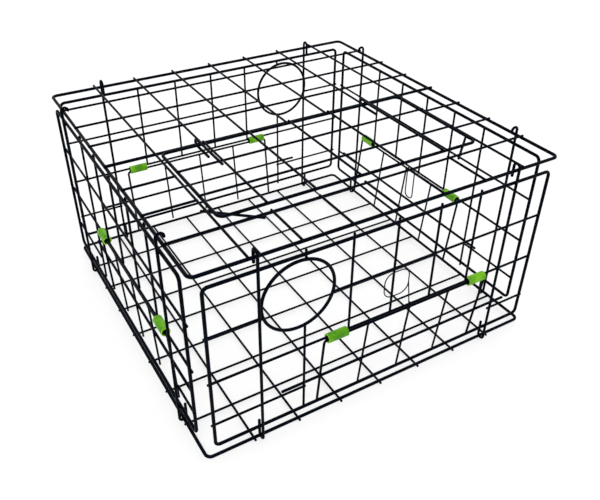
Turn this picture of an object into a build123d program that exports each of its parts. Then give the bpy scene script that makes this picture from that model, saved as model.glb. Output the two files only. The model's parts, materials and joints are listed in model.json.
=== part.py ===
from build123d import *
import os
from math import cos, radians, sin, sqrt
from typing import NamedTuple

# A folding crab trap of coated steel wire: a square floor and lid, four side panels that hook
# round the floor's and the lid's frame rods, a swinging gate in each panel and a door in the lid.
# Millimetres, +Z up. The origin is at the middle of the trap on the surface it stands on.

# Driving dimensions
FRAME_SPAN = 610.0  # floor and lid frames, rod centre to rod centre
HINGE_HEIGHT = 326.0  # floor rod centre to lid rod centre
MESH_PITCH = 76.2  # floor, lid and door wires
UPRIGHT_PITCH = 75.0  # side panel uprights
FRAME_CORNER = 9.0  # bend radius of the floor and lid frames, on the rod's centre
FRAME_ROD = 5.2  # diameters over the coating
DOOR_ROD = 5.0
HINGE_ROD = 5.0
HOOK_WIRE = 4.5
RING_WIRE = 4.8
GATE_WIRE = 4.0
PIVOT_WIRE = 4.0
BRACE_WIRE = 4.0
STOP_WIRE = 4.6
GATE_BAR = 3.4
MESH_WIRE = 3.8
TIE_WIRE = 1.8
RING_BORE = 108.0  # clear diameter of an escape ring
RUNNING_GAP = 0.75  # round a frame rod inside a hook

# Places that follow from them
HALF = FRAME_SPAN / 2
HOOK_OFFSET = FRAME_ROD / 2 + RUNNING_GAP + HOOK_WIRE / 2  # frame rod centre to a hook's leg
FLOOR_Z = HOOK_OFFSET + HOOK_WIRE / 2
LID_Z = FLOOR_Z + HINGE_HEIGHT
NUB = 1.2  # how far a wire's end stands past the rod it is welded to

# Mesh wires lie on one face of their frame rods, pressed a little into them by the welds.
LONG_WIRE_RISE = 4.2  # floor and lid wires along Y, off the frame's plane
CROSS_WIRE_RISE = 2.5  # floor and lid wires along X
HINGE_RISE = 3.0

# Door
DOOR_HALF = 222.0
DOOR_BACK = -8.5
DOOR_FRONT = -212.0
DOOR_CORNER = 10.0
DOOR_RISE = 5.8
DOOR_LONG_RISE = 9.9
DOOR_CROSS_RISE = 8.2
HINGE_HOOK_X = 157.2
HINGE_HOOK_REACH = 6.0  # how far behind the hinge rod the hook's bend is centred
HINGE_HOOK_FRONT = -88.0
HINGE_HOOK_RETURN = -38.0

# Side panels, as heights over the floor rod and distances out from the middle of the trap. The
# heights are the front panel's.
PANEL_OUT = HALF + 1.0
PANEL_BOTTOM = 21.0
PANEL_TOP = 305.5
PANEL_CORNER = 8.0
UPPER_WIRE = 223.5
PIVOT_ROD = 142.0
LOWER_WIRE = 61.5
UPRIGHT_OUT = PANEL_OUT - 4.2
LEVEL_OUT = PANEL_OUT - 2.5
HOOK_ACROSS = 217.5
HOOK_LOOP_RISE = 5.5  # centre of the top loop over the lid rod
HOOK_TIP_DOWN = 13.0  # the top loop's inner leg below the lid rod
HOOK_TIP_CLEAR = 3.6  # a side panel's shorter inner leg ends this far over the lid rod's centre
HOOK_HEEL_UP = 27.0  # the bottom loop's inner leg above the floor rod
RING_UP = 239.0

# Gates, measured down from the pivot rod in the gate's own plane
GATE_LEFT = -115.5
GATE_RIGHT = 193.5
GATE_BAR_DROP = 6.5
GATE_BEND = 6.0
GATE_INNER_BARS = 3
STOP_PLAY = 0.6  # between the stop wire and the uprights when the gate hangs closed
STOP_LEFT = -184.0
STOP_RIGHT = 256.0
SLEEVE_LENGTH = 34.0
SLEEVE_OUTER = 15.0
SLEEVE_BORE = 11.5
SLEEVE_STARTS = (-111.5, 155.0)


class Panel(NamedTuple):
    """What differs between the four side panels. Places across are seen from outside."""

    turn: int  # about Z from the front side, degrees
    left: float  # side rod centres
    right: float
    ring_across: float = 0.0  # 0 for a panel with no escape ring
    keeps_tips: bool = False  # the top hooks' inner legs are full length
    hook_shift: float = 0.0
    upright_shift: float = 0.0
    frame_lift: float = 0.0  # over the heights above
    wire_lift: float = 0.0
    gate_slide: float = 0.0  # where the gate rests along its pivot rod
    gate_lean: float = 6.3  # degrees inward, where the stop wire meets the upright beside the gate
    gate_length: float = 137.0
    stop_drop: float = 69.0


PANELS = {
    "front": Panel(
        turn=0, left=-291, right=292, ring_across=-154.5, keeps_tips=True, upright_shift=7,
        gate_slide=5.5, gate_length=146, stop_drop=81,
    ),
    "right": Panel(
        turn=90, left=-272, right=286, hook_shift=5, upright_shift=-1, frame_lift=4, wire_lift=9.5,
        gate_slide=-1,
    ),
    "back": Panel(
        turn=180, left=-298, right=294, ring_across=-162, keeps_tips=True, hook_shift=-3,
        frame_lift=4, wire_lift=7.5, gate_slide=-2.5,
    ),
    "left": Panel(
        turn=270, left=-285, right=274, hook_shift=-2, upright_shift=-6, frame_lift=3, wire_lift=6,
        gate_slide=-8, gate_lean=2.2,
    ),
}

os.makedirs("parts", exist_ok=True)


def save(part, name, turn=0):
    """Turns a finished piece about Z to its side of the trap, names it and writes it."""
    placed = part.rotate(Axis.Z, turn)
    placed.label = name
    export_step(placed, f"parts/{name}.step")


def wire(points, diameter, bend=0.0, closed=False):
    """Sweeps a round wire along points into the open part, with its corners bent to a radius."""
    with BuildLine() as path:
        if len(points) == 2:
            Line(*points)
        else:
            FilletPolyline(*points, radius=bend, close=closed)
    with BuildSketch(Plane(origin=path.line @ 0, z_dir=path.line % 0)) as section:
        Circle(diameter / 2)
    sweep(section.sketch, path=path.line)


def dress_ends(part, diameter):
    """Rounds the cut ends of every wire in the open part, as the coating leaves them."""
    ends = part.faces().filter_by(GeomType.PLANE)
    fillet(ends.edges(), radius=0.3 * diameter)


def pitches(count):
    """Mesh places from -count to +count pitches."""
    return [k * MESH_PITCH for k in range(-count, count + 1)]


def square_frame(z):
    """A floor or lid frame: one rod bent to a square with rounded corners."""
    corners = [(-HALF, -HALF, z), (HALF, -HALF, z), (HALF, HALF, z), (-HALF, HALF, z)]
    wire(corners, FRAME_ROD, FRAME_CORNER, closed=True)


# ---------------------------------------------------------------- floor
WIRE_END = HALF + FRAME_ROD / 2 + NUB

with BuildPart() as floor_frame:
    square_frame(FLOOR_Z)
save(floor_frame.part, "floor_frame")

with BuildPart() as floor_long_wires:
    for x in pitches(3):
        z = FLOOR_Z - LONG_WIRE_RISE
        wire([(x, -WIRE_END, z), (x, WIRE_END, z)], MESH_WIRE)
    dress_ends(floor_long_wires, MESH_WIRE)
save(floor_long_wires.part, "floor_long_wires")

with BuildPart() as floor_cross_wires:
    for y in pitches(3):
        z = FLOOR_Z - CROSS_WIRE_RISE
        wire([(-WIRE_END, y, z), (WIRE_END, y, z)], MESH_WIRE)
    dress_ends(floor_cross_wires, MESH_WIRE)
save(floor_cross_wires.part, "floor_cross_wires")

# ---------------------------------------------------------------- lid
SIDE_WIRE = 3 * MESH_PITCH  # the mesh wires beside and in front of the door
HINGE_Z = LID_Z + HINGE_RISE

with BuildPart() as lid_frame:
    square_frame(LID_Z)
save(lid_frame.part, "lid_frame")

with BuildPart() as lid_hinge_rod:
    wire([(-WIRE_END, 0, HINGE_Z), (WIRE_END, 0, HINGE_Z)], HINGE_ROD)
    dress_ends(lid_hinge_rod, HINGE_ROD)
save(lid_hinge_rod.part, "lid_hinge_rod")

with BuildPart() as lid_long_wires:
    z = LID_Z + LONG_WIRE_RISE
    for x in (-SIDE_WIRE, SIDE_WIRE):
        wire([(x, -WIRE_END, z), (x, WIRE_END, z)], MESH_WIRE)
    for x in pitches(2):
        wire([(x, -HINGE_ROD / 2 - NUB, z), (x, WIRE_END, z)], MESH_WIRE)
        wire([(x, -WIRE_END, z), (x, -SIDE_WIRE + MESH_WIRE / 2 + NUB, z)], MESH_WIRE)
    dress_ends(lid_long_wires, MESH_WIRE)
save(lid_long_wires.part, "lid_long_wires")

with BuildPart() as lid_cross_wires:
    z = LID_Z + CROSS_WIRE_RISE
    for y in (-SIDE_WIRE, MESH_PITCH, 2 * MESH_PITCH, SIDE_WIRE):
        wire([(-WIRE_END, y, z), (WIRE_END, y, z)], MESH_WIRE)
    for y in (-MESH_PITCH, -2 * MESH_PITCH):
        for side in (-1, 1):
            inner = side * (SIDE_WIRE - MESH_WIRE / 2 - NUB)
            wire([(side * WIRE_END, y, z), (inner, y, z)], MESH_WIRE)
    dress_ends(lid_cross_wires, MESH_WIRE)
save(lid_cross_wires.part, "lid_cross_wires")

# Two short wires across the front corners of the opening, which the closed door rests on
BRACE_Z = LID_Z + DOOR_RISE - DOOR_ROD / 2 - BRACE_WIRE / 2 - 0.1

with BuildPart() as lid_corner_braces:
    for side in (-1, 1):
        wire([(side * 234, -178, BRACE_Z), (side * 166, -236, BRACE_Z)], BRACE_WIRE)
    dress_ends(lid_corner_braces, BRACE_WIRE)
save(lid_corner_braces.part, "lid_corner_braces")

# A thin tie looped round the lid's front cross wire, hanging inside
TIE_X = MESH_PITCH + 5
TIE_TOP = LID_Z + CROSS_WIRE_RISE + MESH_WIRE / 2 + TIE_WIRE / 2
TIE_DROP = 50.0
TIE_HALF_WIDTH = 8.0

with BuildPart() as lid_tie:
    low = TIE_TOP - TIE_DROP
    tie_corners = [
        (TIE_X, -SIDE_WIRE - TIE_HALF_WIDTH, TIE_TOP),
        (TIE_X, -SIDE_WIRE + TIE_HALF_WIDTH, TIE_TOP),
        (TIE_X, -SIDE_WIRE + TIE_HALF_WIDTH, low),
        (TIE_X, -SIDE_WIRE - TIE_HALF_WIDTH, low),
    ]
    wire(tie_corners, TIE_WIRE, TIE_HALF_WIDTH - 1, closed=True)
save(lid_tie.part, "lid_tie")

# ---------------------------------------------------------------- door
DOOR_Z = LID_Z + DOOR_RISE

with BuildPart() as door_frame:
    back_left = (-DOOR_HALF, DOOR_BACK, DOOR_Z)
    back_right = (DOOR_HALF, DOOR_BACK, DOOR_Z)
    front_right = (DOOR_HALF, DOOR_FRONT, DOOR_Z)
    front_left = (-DOOR_HALF, DOOR_FRONT, DOOR_Z)
    wire([back_left, back_right, front_right, front_left], DOOR_ROD, DOOR_CORNER, closed=True)
save(door_frame.part, "door_frame")

with BuildPart() as door_long_wires:
    z = LID_Z + DOOR_LONG_RISE
    for x in pitches(2):
        front = DOOR_FRONT - DOOR_ROD / 2 - NUB
        wire([(x, DOOR_BACK + 2, z), (x, front, z)], MESH_WIRE)
    dress_ends(door_long_wires, MESH_WIRE)
save(door_long_wires.part, "door_long_wires")

with BuildPart() as door_cross_wires:
    z = LID_Z + DOOR_CROSS_RISE
    reach = DOOR_HALF + DOOR_ROD / 2 + NUB
    for y in (-MESH_PITCH, -2 * MESH_PITCH):
        wire([(-reach, y, z), (reach, y, z)], MESH_WIRE)
    dress_ends(door_cross_wires, MESH_WIRE)
save(door_cross_wires.part, "door_cross_wires")

# Each hinge hook lies along the door, turns down behind the lid's hinge rod and returns under it.
HINGE_HOOK_OFFSET = HINGE_ROD / 2 + RUNNING_GAP + HOOK_WIRE / 2

with BuildPart() as door_hinge_hooks:
    for x in (-HINGE_HOOK_X, HINGE_HOOK_X):
        over = HINGE_Z + HINGE_HOOK_OFFSET
        under = HINGE_Z - HINGE_HOOK_OFFSET
        behind = HINGE_HOOK_REACH + HINGE_HOOK_OFFSET
        hook_points = [
            (x, HINGE_HOOK_FRONT, over),
            (x, behind, over),
            (x, behind, under),
            (x, HINGE_HOOK_RETURN, under),
        ]
        wire(hook_points, HOOK_WIRE, HINGE_HOOK_OFFSET * 0.999)
    dress_ends(door_hinge_hooks, HOOK_WIRE)
save(door_hinge_hooks.part, "door_hinge_hooks")


# ---------------------------------------------------------------- side panels
# Each piece is made on the front side, facing -Y, and turned to its own side. Places are given as
# across (to the right, seen from outside), out (from the middle of the trap) and up (over the
# floor rod).
def at(across, out, up):
    """A point of the front panel."""
    return (across, -out, FLOOR_Z + up)


def gate_at(panel, across, drop, proud=0.0):
    """A point of the panel's gate, which hangs from the pivot rod and leans inward."""
    lean = radians(panel.gate_lean)
    out = LEVEL_OUT - drop * sin(lean) + proud * cos(lean)
    up = PIVOT_ROD + panel.wire_lift - drop * cos(lean) - proud * sin(lean)
    return at(across + panel.gate_slide, out, up)


def upright_places(panel):
    """Where the uprights over the gate stand, then the one beside it."""
    return [k * UPRIGHT_PITCH + panel.upright_shift for k in (-1, 0, 1, 2, -2)]


def ring_reach(offset):
    """Half of the chord across an escape ring's wire centre, this far from its middle."""
    middle = (RING_BORE + RING_WIRE) / 2
    return sqrt(middle**2 - offset**2)


def panel_frame(panel):
    low = PANEL_BOTTOM + panel.frame_lift
    high = PANEL_TOP + panel.frame_lift
    with BuildPart() as frame:
        corners = [
            at(panel.left, PANEL_OUT, low),
            at(panel.right, PANEL_OUT, low),
            at(panel.right, PANEL_OUT, high),
            at(panel.left, PANEL_OUT, high),
        ]
        wire(corners, FRAME_ROD, PANEL_CORNER, closed=True)
    return frame.part


def panel_uprights(panel):
    """Four uprights end on the pivot rod, over the gate. The one beside it goes on to the bottom."""
    bottom = PANEL_BOTTOM + panel.frame_lift - FRAME_ROD / 2 - NUB
    top = PANEL_TOP + panel.frame_lift + FRAME_ROD / 2 + NUB
    pivot = PIVOT_ROD + panel.wire_lift
    *over_gate, beside = upright_places(panel)
    with BuildPart() as uprights:
        for across in over_gate:
            wire([at(across, UPRIGHT_OUT, pivot - 1), at(across, UPRIGHT_OUT, top)], MESH_WIRE)
        if panel.ring_across:
            ring_up = RING_UP + panel.wire_lift
            reach = ring_reach(beside - panel.ring_across)
            low = at(beside, UPRIGHT_OUT, ring_up + reach)
            wire([low, at(beside, UPRIGHT_OUT, top)], MESH_WIRE)
            high = at(beside, UPRIGHT_OUT, ring_up - reach)
        else:
            high = at(beside, UPRIGHT_OUT, top)
        wire([at(beside, UPRIGHT_OUT, bottom), high], MESH_WIRE)
        dress_ends(uprights, MESH_WIRE)
    return uprights.part


def panel_levels(panel):
    """The level wires. The middle one is the rod that the gate hangs from."""
    first = panel.left - FRAME_ROD / 2 - NUB
    last = panel.right + FRAME_ROD / 2 + NUB
    upper = UPPER_WIRE + panel.wire_lift
    lower = LOWER_WIRE + panel.wire_lift
    with BuildPart() as levels:
        if panel.ring_across:
            reach = ring_reach(UPPER_WIRE - RING_UP)
            wire([at(first, LEVEL_OUT, upper), at(panel.ring_across - reach, LEVEL_OUT, upper)], MESH_WIRE)
            wire([at(panel.ring_across + reach, LEVEL_OUT, upper), at(last, LEVEL_OUT, upper)], MESH_WIRE)
        else:
            wire([at(first, LEVEL_OUT, upper), at(last, LEVEL_OUT, upper)], MESH_WIRE)
        beside = upright_places(panel)[-1]
        wire([at(first, LEVEL_OUT, lower), at(beside + NUB + 1, LEVEL_OUT, lower)], MESH_WIRE)
        hook_side = HALF + HOOK_OFFSET - HOOK_WIRE / 2 - MESH_WIRE / 2 + 0.1
        hook = HOOK_ACROSS + panel.hook_shift
        wire([at(hook - NUB - 1, hook_side, lower), at(last, hook_side, lower)], MESH_WIRE)
        dress_ends(levels, MESH_WIRE)
    return levels.part


def panel_pivot_rod(panel):
    pivot = PIVOT_ROD + panel.wire_lift
    first = panel.left - FRAME_ROD / 2 - NUB
    last = panel.right + FRAME_ROD / 2 + NUB
    with BuildPart() as rod:
        wire([at(first, LEVEL_OUT, pivot), at(last, LEVEL_OUT, pivot)], PIVOT_WIRE)
        dress_ends(rod, PIVOT_WIRE)
    return rod.part


def panel_hooks(panel):
    """Two wires up the outside, each bent round the floor rod below and over the lid rod above."""
    outer = HALF + HOOK_OFFSET
    inner = HALF - HOOK_OFFSET
    low = -HOOK_OFFSET
    high = HINGE_HEIGHT + HOOK_LOOP_RISE + HOOK_OFFSET
    tip = HINGE_HEIGHT + (-HOOK_TIP_DOWN if panel.keeps_tips else HOOK_TIP_CLEAR)
    with BuildPart() as hooks:
        for side in (-HOOK_ACROSS, HOOK_ACROSS):
            across = side + panel.hook_shift
            hook_points = [
                at(across, inner, HOOK_HEEL_UP),
                at(across, inner, low),
                at(across, outer, low),
                at(across, outer, high),
                at(across, inner, high),
                at(across, inner, tip),
            ]
            wire(hook_points, HOOK_WIRE, HOOK_OFFSET * 0.999)
        dress_ends(hooks, HOOK_WIRE)
    return hooks.part


def escape_ring(panel):
    middle = at(panel.ring_across, LEVEL_OUT, RING_UP + panel.wire_lift)
    with BuildPart() as ring:
        with BuildLine(Plane(origin=middle, x_dir=(1, 0, 0), z_dir=(0, -1, 0))) as path:
            CenterArc((0, 0), ring_reach(0), 0, 360)
        with BuildSketch(Plane(origin=path.line @ 0, z_dir=path.line % 0)):
            Circle(RING_WIRE / 2)
        sweep(path=path.line)
    return ring.part


def gate_frame(panel):
    with BuildPart() as frame:
        frame_points = [
            gate_at(panel, GATE_LEFT, panel.gate_length),
            gate_at(panel, GATE_LEFT, GATE_BAR_DROP),
            gate_at(panel, GATE_RIGHT, GATE_BAR_DROP),
            gate_at(panel, GATE_RIGHT, panel.gate_length),
        ]
        wire(frame_points, GATE_WIRE, GATE_BEND)
        dress_ends(frame, GATE_WIRE)
    return frame.part


def gate_bars(panel):
    spacing = (GATE_RIGHT - GATE_LEFT) / (GATE_INNER_BARS + 1)
    with BuildPart() as bars:
        for k in range(1, GATE_INNER_BARS + 1):
            across = GATE_LEFT + k * spacing
            top = gate_at(panel, across, GATE_BAR_DROP)
            wire([top, gate_at(panel, across, panel.gate_length - 4)], GATE_BAR)
        dress_ends(bars, GATE_BAR)
    return bars.part


def gate_stop_wire(panel):
    """The cross wire, longer than the gate is wide, which meets the panel from inside."""
    lean = radians(panel.gate_lean)
    closed_out = UPRIGHT_OUT - MESH_WIRE / 2 - STOP_PLAY - STOP_WIRE / 2
    proud = (closed_out - LEVEL_OUT + panel.stop_drop * sin(lean)) / cos(lean)
    ends = [gate_at(panel, across, panel.stop_drop, proud) for across in (STOP_LEFT, STOP_RIGHT)]
    with BuildPart() as stop:
        wire(ends, STOP_WIRE)
        dress_ends(stop, STOP_WIRE)
    return stop.part


def gate_sleeve(panel, start):
    """A plastic sleeve round the pivot rod and the gate's top bar together."""
    middle = gate_at(panel, start, GATE_BAR_DROP / 2)
    with BuildPart() as sleeve:
        with BuildSketch(Plane(origin=middle, z_dir=(1, 0, 0))):
            Circle(SLEEVE_OUTER / 2)
            Circle(SLEEVE_BORE / 2, mode=Mode.SUBTRACT)
        extrude(amount=SLEEVE_LENGTH)
        fillet(sleeve.edges().filter_by(GeomType.CIRCLE), radius=0.5)
    return sleeve.part


for side, panel in PANELS.items():
    save(panel_frame(panel), f"{side}_panel_frame", panel.turn)
    save(panel_uprights(panel), f"{side}_panel_uprights", panel.turn)
    save(panel_levels(panel), f"{side}_panel_level_wires", panel.turn)
    save(panel_pivot_rod(panel), f"{side}_gate_pivot_rod", panel.turn)
    save(panel_hooks(panel), f"{side}_panel_hooks", panel.turn)
    if panel.ring_across:
        save(escape_ring(panel), f"{side}_escape_ring", panel.turn)
    save(gate_frame(panel), f"{side}_gate_frame", panel.turn)
    save(gate_bars(panel), f"{side}_gate_bars", panel.turn)
    save(gate_stop_wire(panel), f"{side}_gate_stop_wire", panel.turn)
    for end, start in zip(("left", "right"), SLEEVE_STARTS):
        save(gate_sleeve(panel, start), f"{side}_gate_sleeve_{end}", panel.turn)

# ---------------------------------------------------------------- front panel tie
# A thin tie round the front pivot rod, with its open loop standing up behind the uprights
LOOP_OUT = UPRIGHT_OUT - MESH_WIRE / 2 - TIE_WIRE / 2 - 0.6
TIE_PIVOT = PIVOT_ROD + PANELS["front"].wire_lift
LOOP_FOOT = 44.0
LOOP_RIGHT = 40.0
LOOP_LEFT = -5.0
LOOP_LOW = 166.0
LOOP_HIGH = 211.0
LOOP_BEND = 16.0
KNOT_RADIUS = PIVOT_WIRE / 2 + TIE_WIRE / 2

with BuildPart() as front_tie:
    knot_plane = Plane(origin=at(LOOP_FOOT, LEVEL_OUT, TIE_PIVOT), z_dir=(1, 0, 0))
    with BuildLine(knot_plane) as knot_path:
        CenterArc((0, 0), KNOT_RADIUS, 0, 360)
    with BuildSketch(Plane(origin=knot_path.line @ 0, z_dir=knot_path.line % 0)):
        Circle(TIE_WIRE / 2)
    sweep(path=knot_path.line)
    stem = [
        at(LOOP_FOOT, LEVEL_OUT - KNOT_RADIUS, TIE_PIVOT),
        at(LOOP_FOOT, LOOP_OUT, TIE_PIVOT + 14),
        at(LOOP_RIGHT, LOOP_OUT, LOOP_LOW + LOOP_BEND + 2),
    ]
    wire(stem, TIE_WIRE, 8)
    loop_corners = [
        at(LOOP_RIGHT, LOOP_OUT, LOOP_LOW),
        at(LOOP_RIGHT, LOOP_OUT, LOOP_HIGH),
        at(LOOP_LEFT, LOOP_OUT, LOOP_HIGH),
        at(LOOP_LEFT, LOOP_OUT, LOOP_LOW),
    ]
    wire(loop_corners, TIE_WIRE, LOOP_BEND, closed=True)
save(front_tie.part, "front_tie")
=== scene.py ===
import json
import math

import bmesh
import bpy
from mathutils import Matrix, Vector, geometry, noise
from mathutils.bvhtree import BVHTree


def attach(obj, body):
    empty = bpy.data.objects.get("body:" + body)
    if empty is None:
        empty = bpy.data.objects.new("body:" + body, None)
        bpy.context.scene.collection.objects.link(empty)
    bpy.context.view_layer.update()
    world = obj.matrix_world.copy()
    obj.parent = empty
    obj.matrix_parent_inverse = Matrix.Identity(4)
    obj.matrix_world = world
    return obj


# ---------------------------------------------------------------- camera
scene = bpy.context.scene
scene.view_settings.view_transform = "Standard"
AZIMUTH = math.radians(-31.10)
ELEVATION = math.radians(35.42)
ROLL = math.radians(0.68)
DISTANCE = 1.32745
PAN_RIGHT = 0.02601
PAN_UP = 0.05777
FOCAL_WIDTHS = 687.7 / 600  # focal length over the picture's width
SENSOR_WIDTH = 36  # mm
AIM_HEIGHT = 0.00785  # the floor rod's centre

back = Vector(
    (
        math.sin(AZIMUTH) * math.cos(ELEVATION),
        -math.cos(AZIMUTH) * math.cos(ELEVATION),
        math.sin(ELEVATION),
    )
)
level = Vector((0, 0, 1)).cross(back).normalized()
rise = back.cross(level)
right = level * math.cos(ROLL) + rise * math.sin(ROLL)
up = rise * math.cos(ROLL) - level * math.sin(ROLL)
aim = Vector((0, 0, AIM_HEIGHT)) + right * PAN_RIGHT + up * PAN_UP
place = aim + back * DISTANCE

camera = bpy.data.objects.new("camera", bpy.data.cameras.new("camera"))
scene.collection.objects.link(camera)
turned = Matrix((right, up, back)).transposed()
camera.matrix_world = Matrix.Translation(place) @ turned.to_4x4()
camera.data.sensor_width = SENSOR_WIDTH
camera.data.lens = SENSOR_WIDTH * FOCAL_WIDTHS
camera.data.clip_start = 0.05
camera.data.clip_end = 100
scene.camera = camera

# ---------------------------------------------------------------- frame
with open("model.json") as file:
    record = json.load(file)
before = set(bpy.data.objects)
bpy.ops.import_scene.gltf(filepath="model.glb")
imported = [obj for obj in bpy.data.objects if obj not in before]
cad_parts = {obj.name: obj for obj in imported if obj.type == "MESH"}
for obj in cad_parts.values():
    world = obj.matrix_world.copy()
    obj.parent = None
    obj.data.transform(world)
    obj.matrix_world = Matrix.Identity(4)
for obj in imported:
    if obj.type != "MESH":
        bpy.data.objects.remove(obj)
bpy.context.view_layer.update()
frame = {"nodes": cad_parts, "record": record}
nodes = frame["nodes"]
behaviour = frame["record"]["behaviour"]


# ---------------------------------------------------------------- materials
def new_material(name):
    """A material with its Principled shader, and a shortcut that adds a node to it."""
    made = bpy.data.materials.new(name)
    made.use_nodes = True
    tree = made.node_tree
    shader = tree.nodes["Principled BSDF"]

    def add(kind, inputs=None, **settings):
        node = tree.nodes.new(kind)
        for key, value in settings.items():
            setattr(node, key, value)
        for key, value in (inputs or {}).items():
            if isinstance(value, bpy.types.NodeSocket):
                tree.links.new(value, node.inputs[key])
            else:
                node.inputs[key].default_value = value
        return node

    def link(output, socket):
        tree.links.new(output, socket)

    return made, shader, add, link


def ramp(add, factor, stops):
    """A colour ramp over stops of (position, colour)."""
    node = add("ShaderNodeValToRGB", {"Fac": factor})
    elements = node.color_ramp.elements
    while len(elements) < len(stops):
        elements.new(0.5)
    for element, (position, colour) in zip(elements, stops):
        element.position = position
        element.color = (*colour, 1)
    return node


def spread(add, value, before, after):
    """A value's range `before` mapped to the range `after`."""
    node = add("ShaderNodeMapRange", {"Value": value})
    node.inputs["From Min"].default_value, node.inputs["From Max"].default_value = before
    node.inputs["To Min"].default_value, node.inputs["To Max"].default_value = after
    return node


def coated_wire_material(name, dark, light, dust):
    """Dipped vinyl over steel wire: satin, faintly lumpy, with paler scuffs scattered by noise."""
    made, shader, add, link = new_material(name)
    where = add("ShaderNodeTexCoord").outputs["Object"]
    patches = add("ShaderNodeTexNoise", {"Vector": where, "Scale": 34, "Detail": 5, "Roughness": 0.6})
    grain = add("ShaderNodeTexNoise", {"Vector": where, "Scale": 900, "Detail": 3, "Roughness": 0.55})
    lumps = add("ShaderNodeTexNoise", {"Vector": where, "Scale": 140, "Detail": 4, "Roughness": 0.5})
    scuffs = add("ShaderNodeTexNoise", {"Vector": where, "Scale": 260, "Detail": 8, "Roughness": 0.72})
    tone = ramp(add, patches.outputs["Fac"], [(0.32, dark), (0.72, light)])
    worn = ramp(add, scuffs.outputs["Fac"], [(0.60, (0, 0, 0)), (0.74, (1, 1, 1))])
    colour = add("ShaderNodeMix", data_type="RGBA")
    link(worn.outputs["Color"], colour.inputs[0])
    link(tone.outputs["Color"], colour.inputs[6])
    colour.inputs[7].default_value = (*dust, 1)
    link(colour.outputs[2], shader.inputs["Base Color"])
    gloss = spread(add, lumps.outputs["Fac"], (0.3, 0.7), (0.27, 0.46))
    dulled = add("ShaderNodeMath", {0: worn.outputs["Color"], 1: 0.18}, operation="MULTIPLY")
    rough = add("ShaderNodeMath", {0: gloss.outputs["Result"], 1: dulled.outputs[0]}, operation="ADD")
    link(rough.outputs[0], shader.inputs["Roughness"])
    low = add("ShaderNodeBump", {"Height": lumps.outputs["Fac"], "Strength": 0.35, "Distance": 0.0008})
    fine = add("ShaderNodeBump", {"Height": grain.outputs["Fac"], "Strength": 0.22, "Distance": 0.0002})
    link(low.outputs["Normal"], fine.inputs["Normal"])
    link(fine.outputs["Normal"], shader.inputs["Normal"])
    shader.inputs["Specular IOR Level"].default_value = 0.024
    shader.inputs["Specular Tint"].default_value = (0.55, 0.78, 1.0, 1)
    return made


WIRE_DARK = (0.0003, 0.0007, 0.0018)
WIRE_LIGHT = (0.0008, 0.0021, 0.0058)
WIRE_DUST = (0.008, 0.014, 0.026)
wire_coat = coated_wire_material("coated_wire", WIRE_DARK, WIRE_LIGHT, WIRE_DUST)


def sleeve_material(name, axis, deep, bright, pale):
    """Lime green extruded tube: a little translucent, faintly ribbed along its length, paler where
    it is cut across the axis, with fine scratches and handling marks."""
    made, shader, add, link = new_material(name)
    where = add("ShaderNodeTexCoord").outputs["Object"]
    clouds = add("ShaderNodeTexNoise", {"Vector": where, "Scale": 60, "Detail": 4, "Roughness": 0.55})
    marks = add("ShaderNodeTexNoise", {"Vector": where, "Scale": 420, "Detail": 7, "Roughness": 0.7})
    grain = add("ShaderNodeTexNoise", {"Vector": where, "Scale": 1500, "Detail": 2, "Roughness": 0.5})
    tone = ramp(add, clouds.outputs["Fac"], [(0.36, deep), (0.62, bright)])
    worn = ramp(add, marks.outputs["Fac"], [(0.60, (0, 0, 0)), (0.72, (1, 1, 1))])
    amount = add("ShaderNodeMath", {0: worn.outputs["Color"], 1: 0.35}, operation="MULTIPLY")
    colour = add("ShaderNodeMix", data_type="RGBA")
    link(amount.outputs[0], colour.inputs[0])
    link(tone.outputs["Color"], colour.inputs[6])
    colour.inputs[7].default_value = (*pale, 1)
    facing = add("ShaderNodeSeparateXYZ", {"Vector": add("ShaderNodeTexCoord").outputs["Normal"]})
    along = add("ShaderNodeMath", {0: facing.outputs[axis]}, operation="ABSOLUTE")
    cut = ramp(add, along.outputs[0], [(0.35, (0, 0, 0)), (0.85, (1, 1, 1))])
    finished = add("ShaderNodeMix", data_type="RGBA")
    link(cut.outputs["Color"], finished.inputs[0])
    link(colour.outputs[2], finished.inputs[6])
    finished.inputs[7].default_value = (*pale, 1)
    link(finished.outputs[2], shader.inputs["Base Color"])
    rough = spread(add, marks.outputs["Fac"], (0.3, 0.75), (0.28, 0.5))
    link(rough.outputs["Result"], shader.inputs["Roughness"])
    stretch = add("ShaderNodeMapping", {"Vector": where})
    stretch.inputs["Scale"].default_value = [0.02 if k == axis else 1 for k in "XYZ"]
    ribs = add("ShaderNodeTexNoise", {"Vector": stretch.outputs["Vector"], "Scale": 620, "Detail": 2})
    lines = add("ShaderNodeBump", {"Height": ribs.outputs["Fac"], "Strength": 0.45, "Distance": 0.0006})
    bumps = add("ShaderNodeBump", {"Height": clouds.outputs["Fac"], "Strength": 0.25, "Distance": 0.001})
    link(lines.outputs["Normal"], bumps.inputs["Normal"])
    fine = add("ShaderNodeBump", {"Height": grain.outputs["Fac"], "Strength": 0.15, "Distance": 0.0002})
    link(bumps.outputs["Normal"], fine.inputs["Normal"])
    link(fine.outputs["Normal"], shader.inputs["Normal"])
    shader.inputs["Specular IOR Level"].default_value = 0.15
    shader.inputs["Subsurface Weight"].default_value = 0.12
    shader.inputs["Subsurface Radius"].default_value = (0.6, 1.0, 0.2)
    shader.inputs["Subsurface Scale"].default_value = 0.002
    return made


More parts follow.
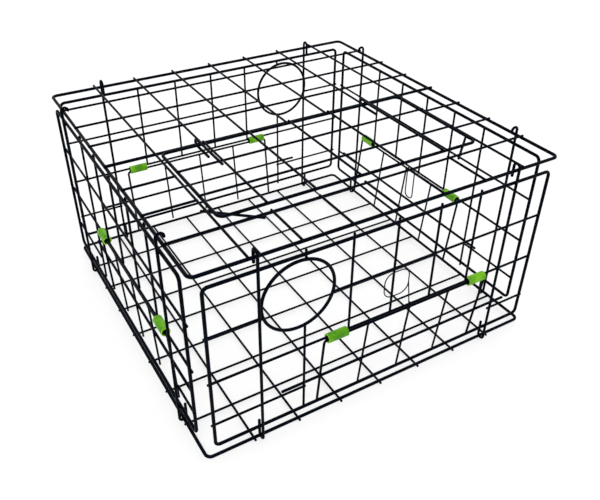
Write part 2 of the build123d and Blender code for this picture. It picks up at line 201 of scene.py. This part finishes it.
SLEEVE_DEEP = (0.046, 0.200, 0.0015)
SLEEVE_BRIGHT = (0.130, 0.385, 0.0040)
SLEEVE_PALE = (0.27, 0.60, 0.03)
sleeve_green = {
    axis: sleeve_material(f"green_sleeve_{axis}", axis, SLEEVE_DEEP, SLEEVE_BRIGHT, SLEEVE_PALE)
    for axis in "XY"
}
TIE_DARK = (0.0015, 0.002, 0.003)
TIE_LIGHT = (0.004, 0.0045, 0.006)
TIE_DUST = (0.018, 0.018, 0.022)
tie_coat = coated_wire_material("black_tie", TIE_DARK, TIE_LIGHT, TIE_DUST)

for name, thing in nodes.items():
    if "sleeve" in name:
        chosen = sleeve_green["X" if name.startswith(("front", "back")) else "Y"]
    elif name.endswith("_tie"):
        chosen = tie_coat
    else:
        chosen = wire_coat
    thing.data.materials.clear()
    thing.data.materials.append(chosen)


# ---------------------------------------------------------------- welds
# Where two wires of one body cross, the coating fills the corners round the spot weld. The weld
# places come from the frame: where one node's surface passes through another's.
SAME_WELD = 0.012
COATING_FILLET = 0.0007
surfaces = {}


def surface(name):
    """A node's surface as a search tree, with the corners of each of its triangles."""
    if name not in surfaces:
        mesh = nodes[name].data
        mesh.calc_loop_triangles()
        points = [vertex.co.copy() for vertex in mesh.vertices]
        faces = [tuple(triangle.vertices) for triangle in mesh.loop_triangles]
        corners = [[points[k] for k in face] for face in faces]
        surfaces[name] = (BVHTree.FromPolygons(points, faces), corners)
    return surfaces[name]


def cuts(edges_of, triangle):
    """Where one triangle's edges pass through another triangle."""
    for start, end in zip(edges_of, edges_of[1:] + edges_of[:1]):
        way = end - start
        spot = geometry.intersect_ray_tri(*triangle, way, start)
        if spot and (spot - start).length <= way.length:
            yield spot


def crossings(one, other):
    """The (middle, half size) of each place where two nodes' surfaces meet."""
    tree, corners = surface(one)
    other_tree, other_corners = surface(other)
    groups = []
    for first, second in tree.overlap(other_tree):
        mine, theirs = corners[first], other_corners[second]
        for spot in (*cuts(mine, theirs), *cuts(theirs, mine)):
            near = [group for group in groups if (group[0] - spot).length < SAME_WELD]
            if near:
                near[0].append(spot)
            else:
                groups.append([spot])
    for group in groups:
        low = Vector([min(spot[k] for spot in group) for k in range(3)])
        high = Vector([max(spot[k] for spot in group) for k in range(3)])
        yield (low + high) / 2, (high - low) / 2


def add_fillet(shape, middle, half):
    """One weld's fillet: a rounded pad that stands just past the wires' crossing, a little uneven."""
    ball = bmesh.ops.create_icosphere(shape, subdivisions=3, radius=1.0)
    for vertex in ball["verts"]:
        way = vertex.co.normalized()
        uneven = 1 + 0.16 * noise.noise(way * 1.3 + middle * 900)
        size = [half[k] + COATING_FILLET for k in range(3)]
        vertex.co = middle + Vector([way[k] * size[k] * uneven for k in range(3)])


def weld_fillets(body, pairs):
    """One piece with all of a body's fillets."""
    shape = bmesh.new()
    for one, other in pairs:
        for middle, half in crossings(one, other):
            add_fillet(shape, middle, half)
    for face in shape.faces:
        face.smooth = True
    mesh = bpy.data.meshes.new(f"{body}_weld_fillets")
    shape.to_mesh(mesh)
    shape.free()
    mesh.materials.append(wire_coat)
    piece = bpy.data.objects.new(f"{body}_weld_fillets", mesh)
    scene.collection.objects.link(piece)
    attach(piece, body)


for body, members in behaviour["bodies"].items():
    wires = [name for name in members if "sleeve" not in name and not name.endswith("_tie")]
    pairs = [pair for pair in behaviour["press_fits"] if pair[0] in wires and pair[1] in wires]
    if pairs:
        weld_fillets(body, pairs)

# ---------------------------------------------------------------- floor and light
SPREAD = 30
GROUND = -0.0002  # just under the trap, so that the two never share a plane
WORLD_STRENGTH = 1.0
TRAP_MIDDLE = 0.17  # the height that the lamps face
FLOOR_GREY = (0.30, 0.30, 0.30, 1)
FLOOR_GLOW = 0.64  # the floor is partly self-lit, like a light table
WHITE = (1, 1, 1, 1)

mesh = bpy.data.meshes.new("studio_floor")
signs = ((-1, -1), (1, -1), (1, 1), (-1, 1))
mesh.from_pydata([(x * SPREAD, y * SPREAD, GROUND) for x, y in signs], [], [(0, 1, 2, 3)])
studio_floor = bpy.data.objects.new("studio_floor", mesh)
scene.collection.objects.link(studio_floor)
made, shader, add, link = new_material("studio_floor")
shader.inputs["Base Color"].default_value = FLOOR_GREY
shader.inputs["Emission Color"].default_value = WHITE
shader.inputs["Emission Strength"].default_value = FLOOR_GLOW
shader.inputs["Roughness"].default_value = 0.85
shader.inputs["Specular IOR Level"].default_value = 0.1
mesh.materials.append(made)

world = bpy.data.worlds.new("studio")
scene.world = world
world.use_nodes = True
sky = world.node_tree.nodes["Background"]
sky.inputs["Color"].default_value = WHITE
sky.inputs["Strength"].default_value = WORLD_STRENGTH


def area_light(name, where, size, power):
    """A square soft box that faces the middle of the trap."""
    data = bpy.data.lights.new(name, "AREA")
    data.size = size
    data.energy = power
    lamp = bpy.data.objects.new(name, data)
    scene.collection.objects.link(lamp)
    lamp.location = where
    way = Vector((0, 0, TRAP_MIDDLE)) - Vector(where)
    lamp.rotation_euler = way.to_track_quat("-Z", "Y").to_euler()


area_light("key", (-1.6, -1.6, 2.6), 1.2, 40)
area_light("fill", (2.2, -1.2, 1.8), 1.4, 14)
area_light("rim", (0.6, 2.4, 2.0), 1.4, 16)
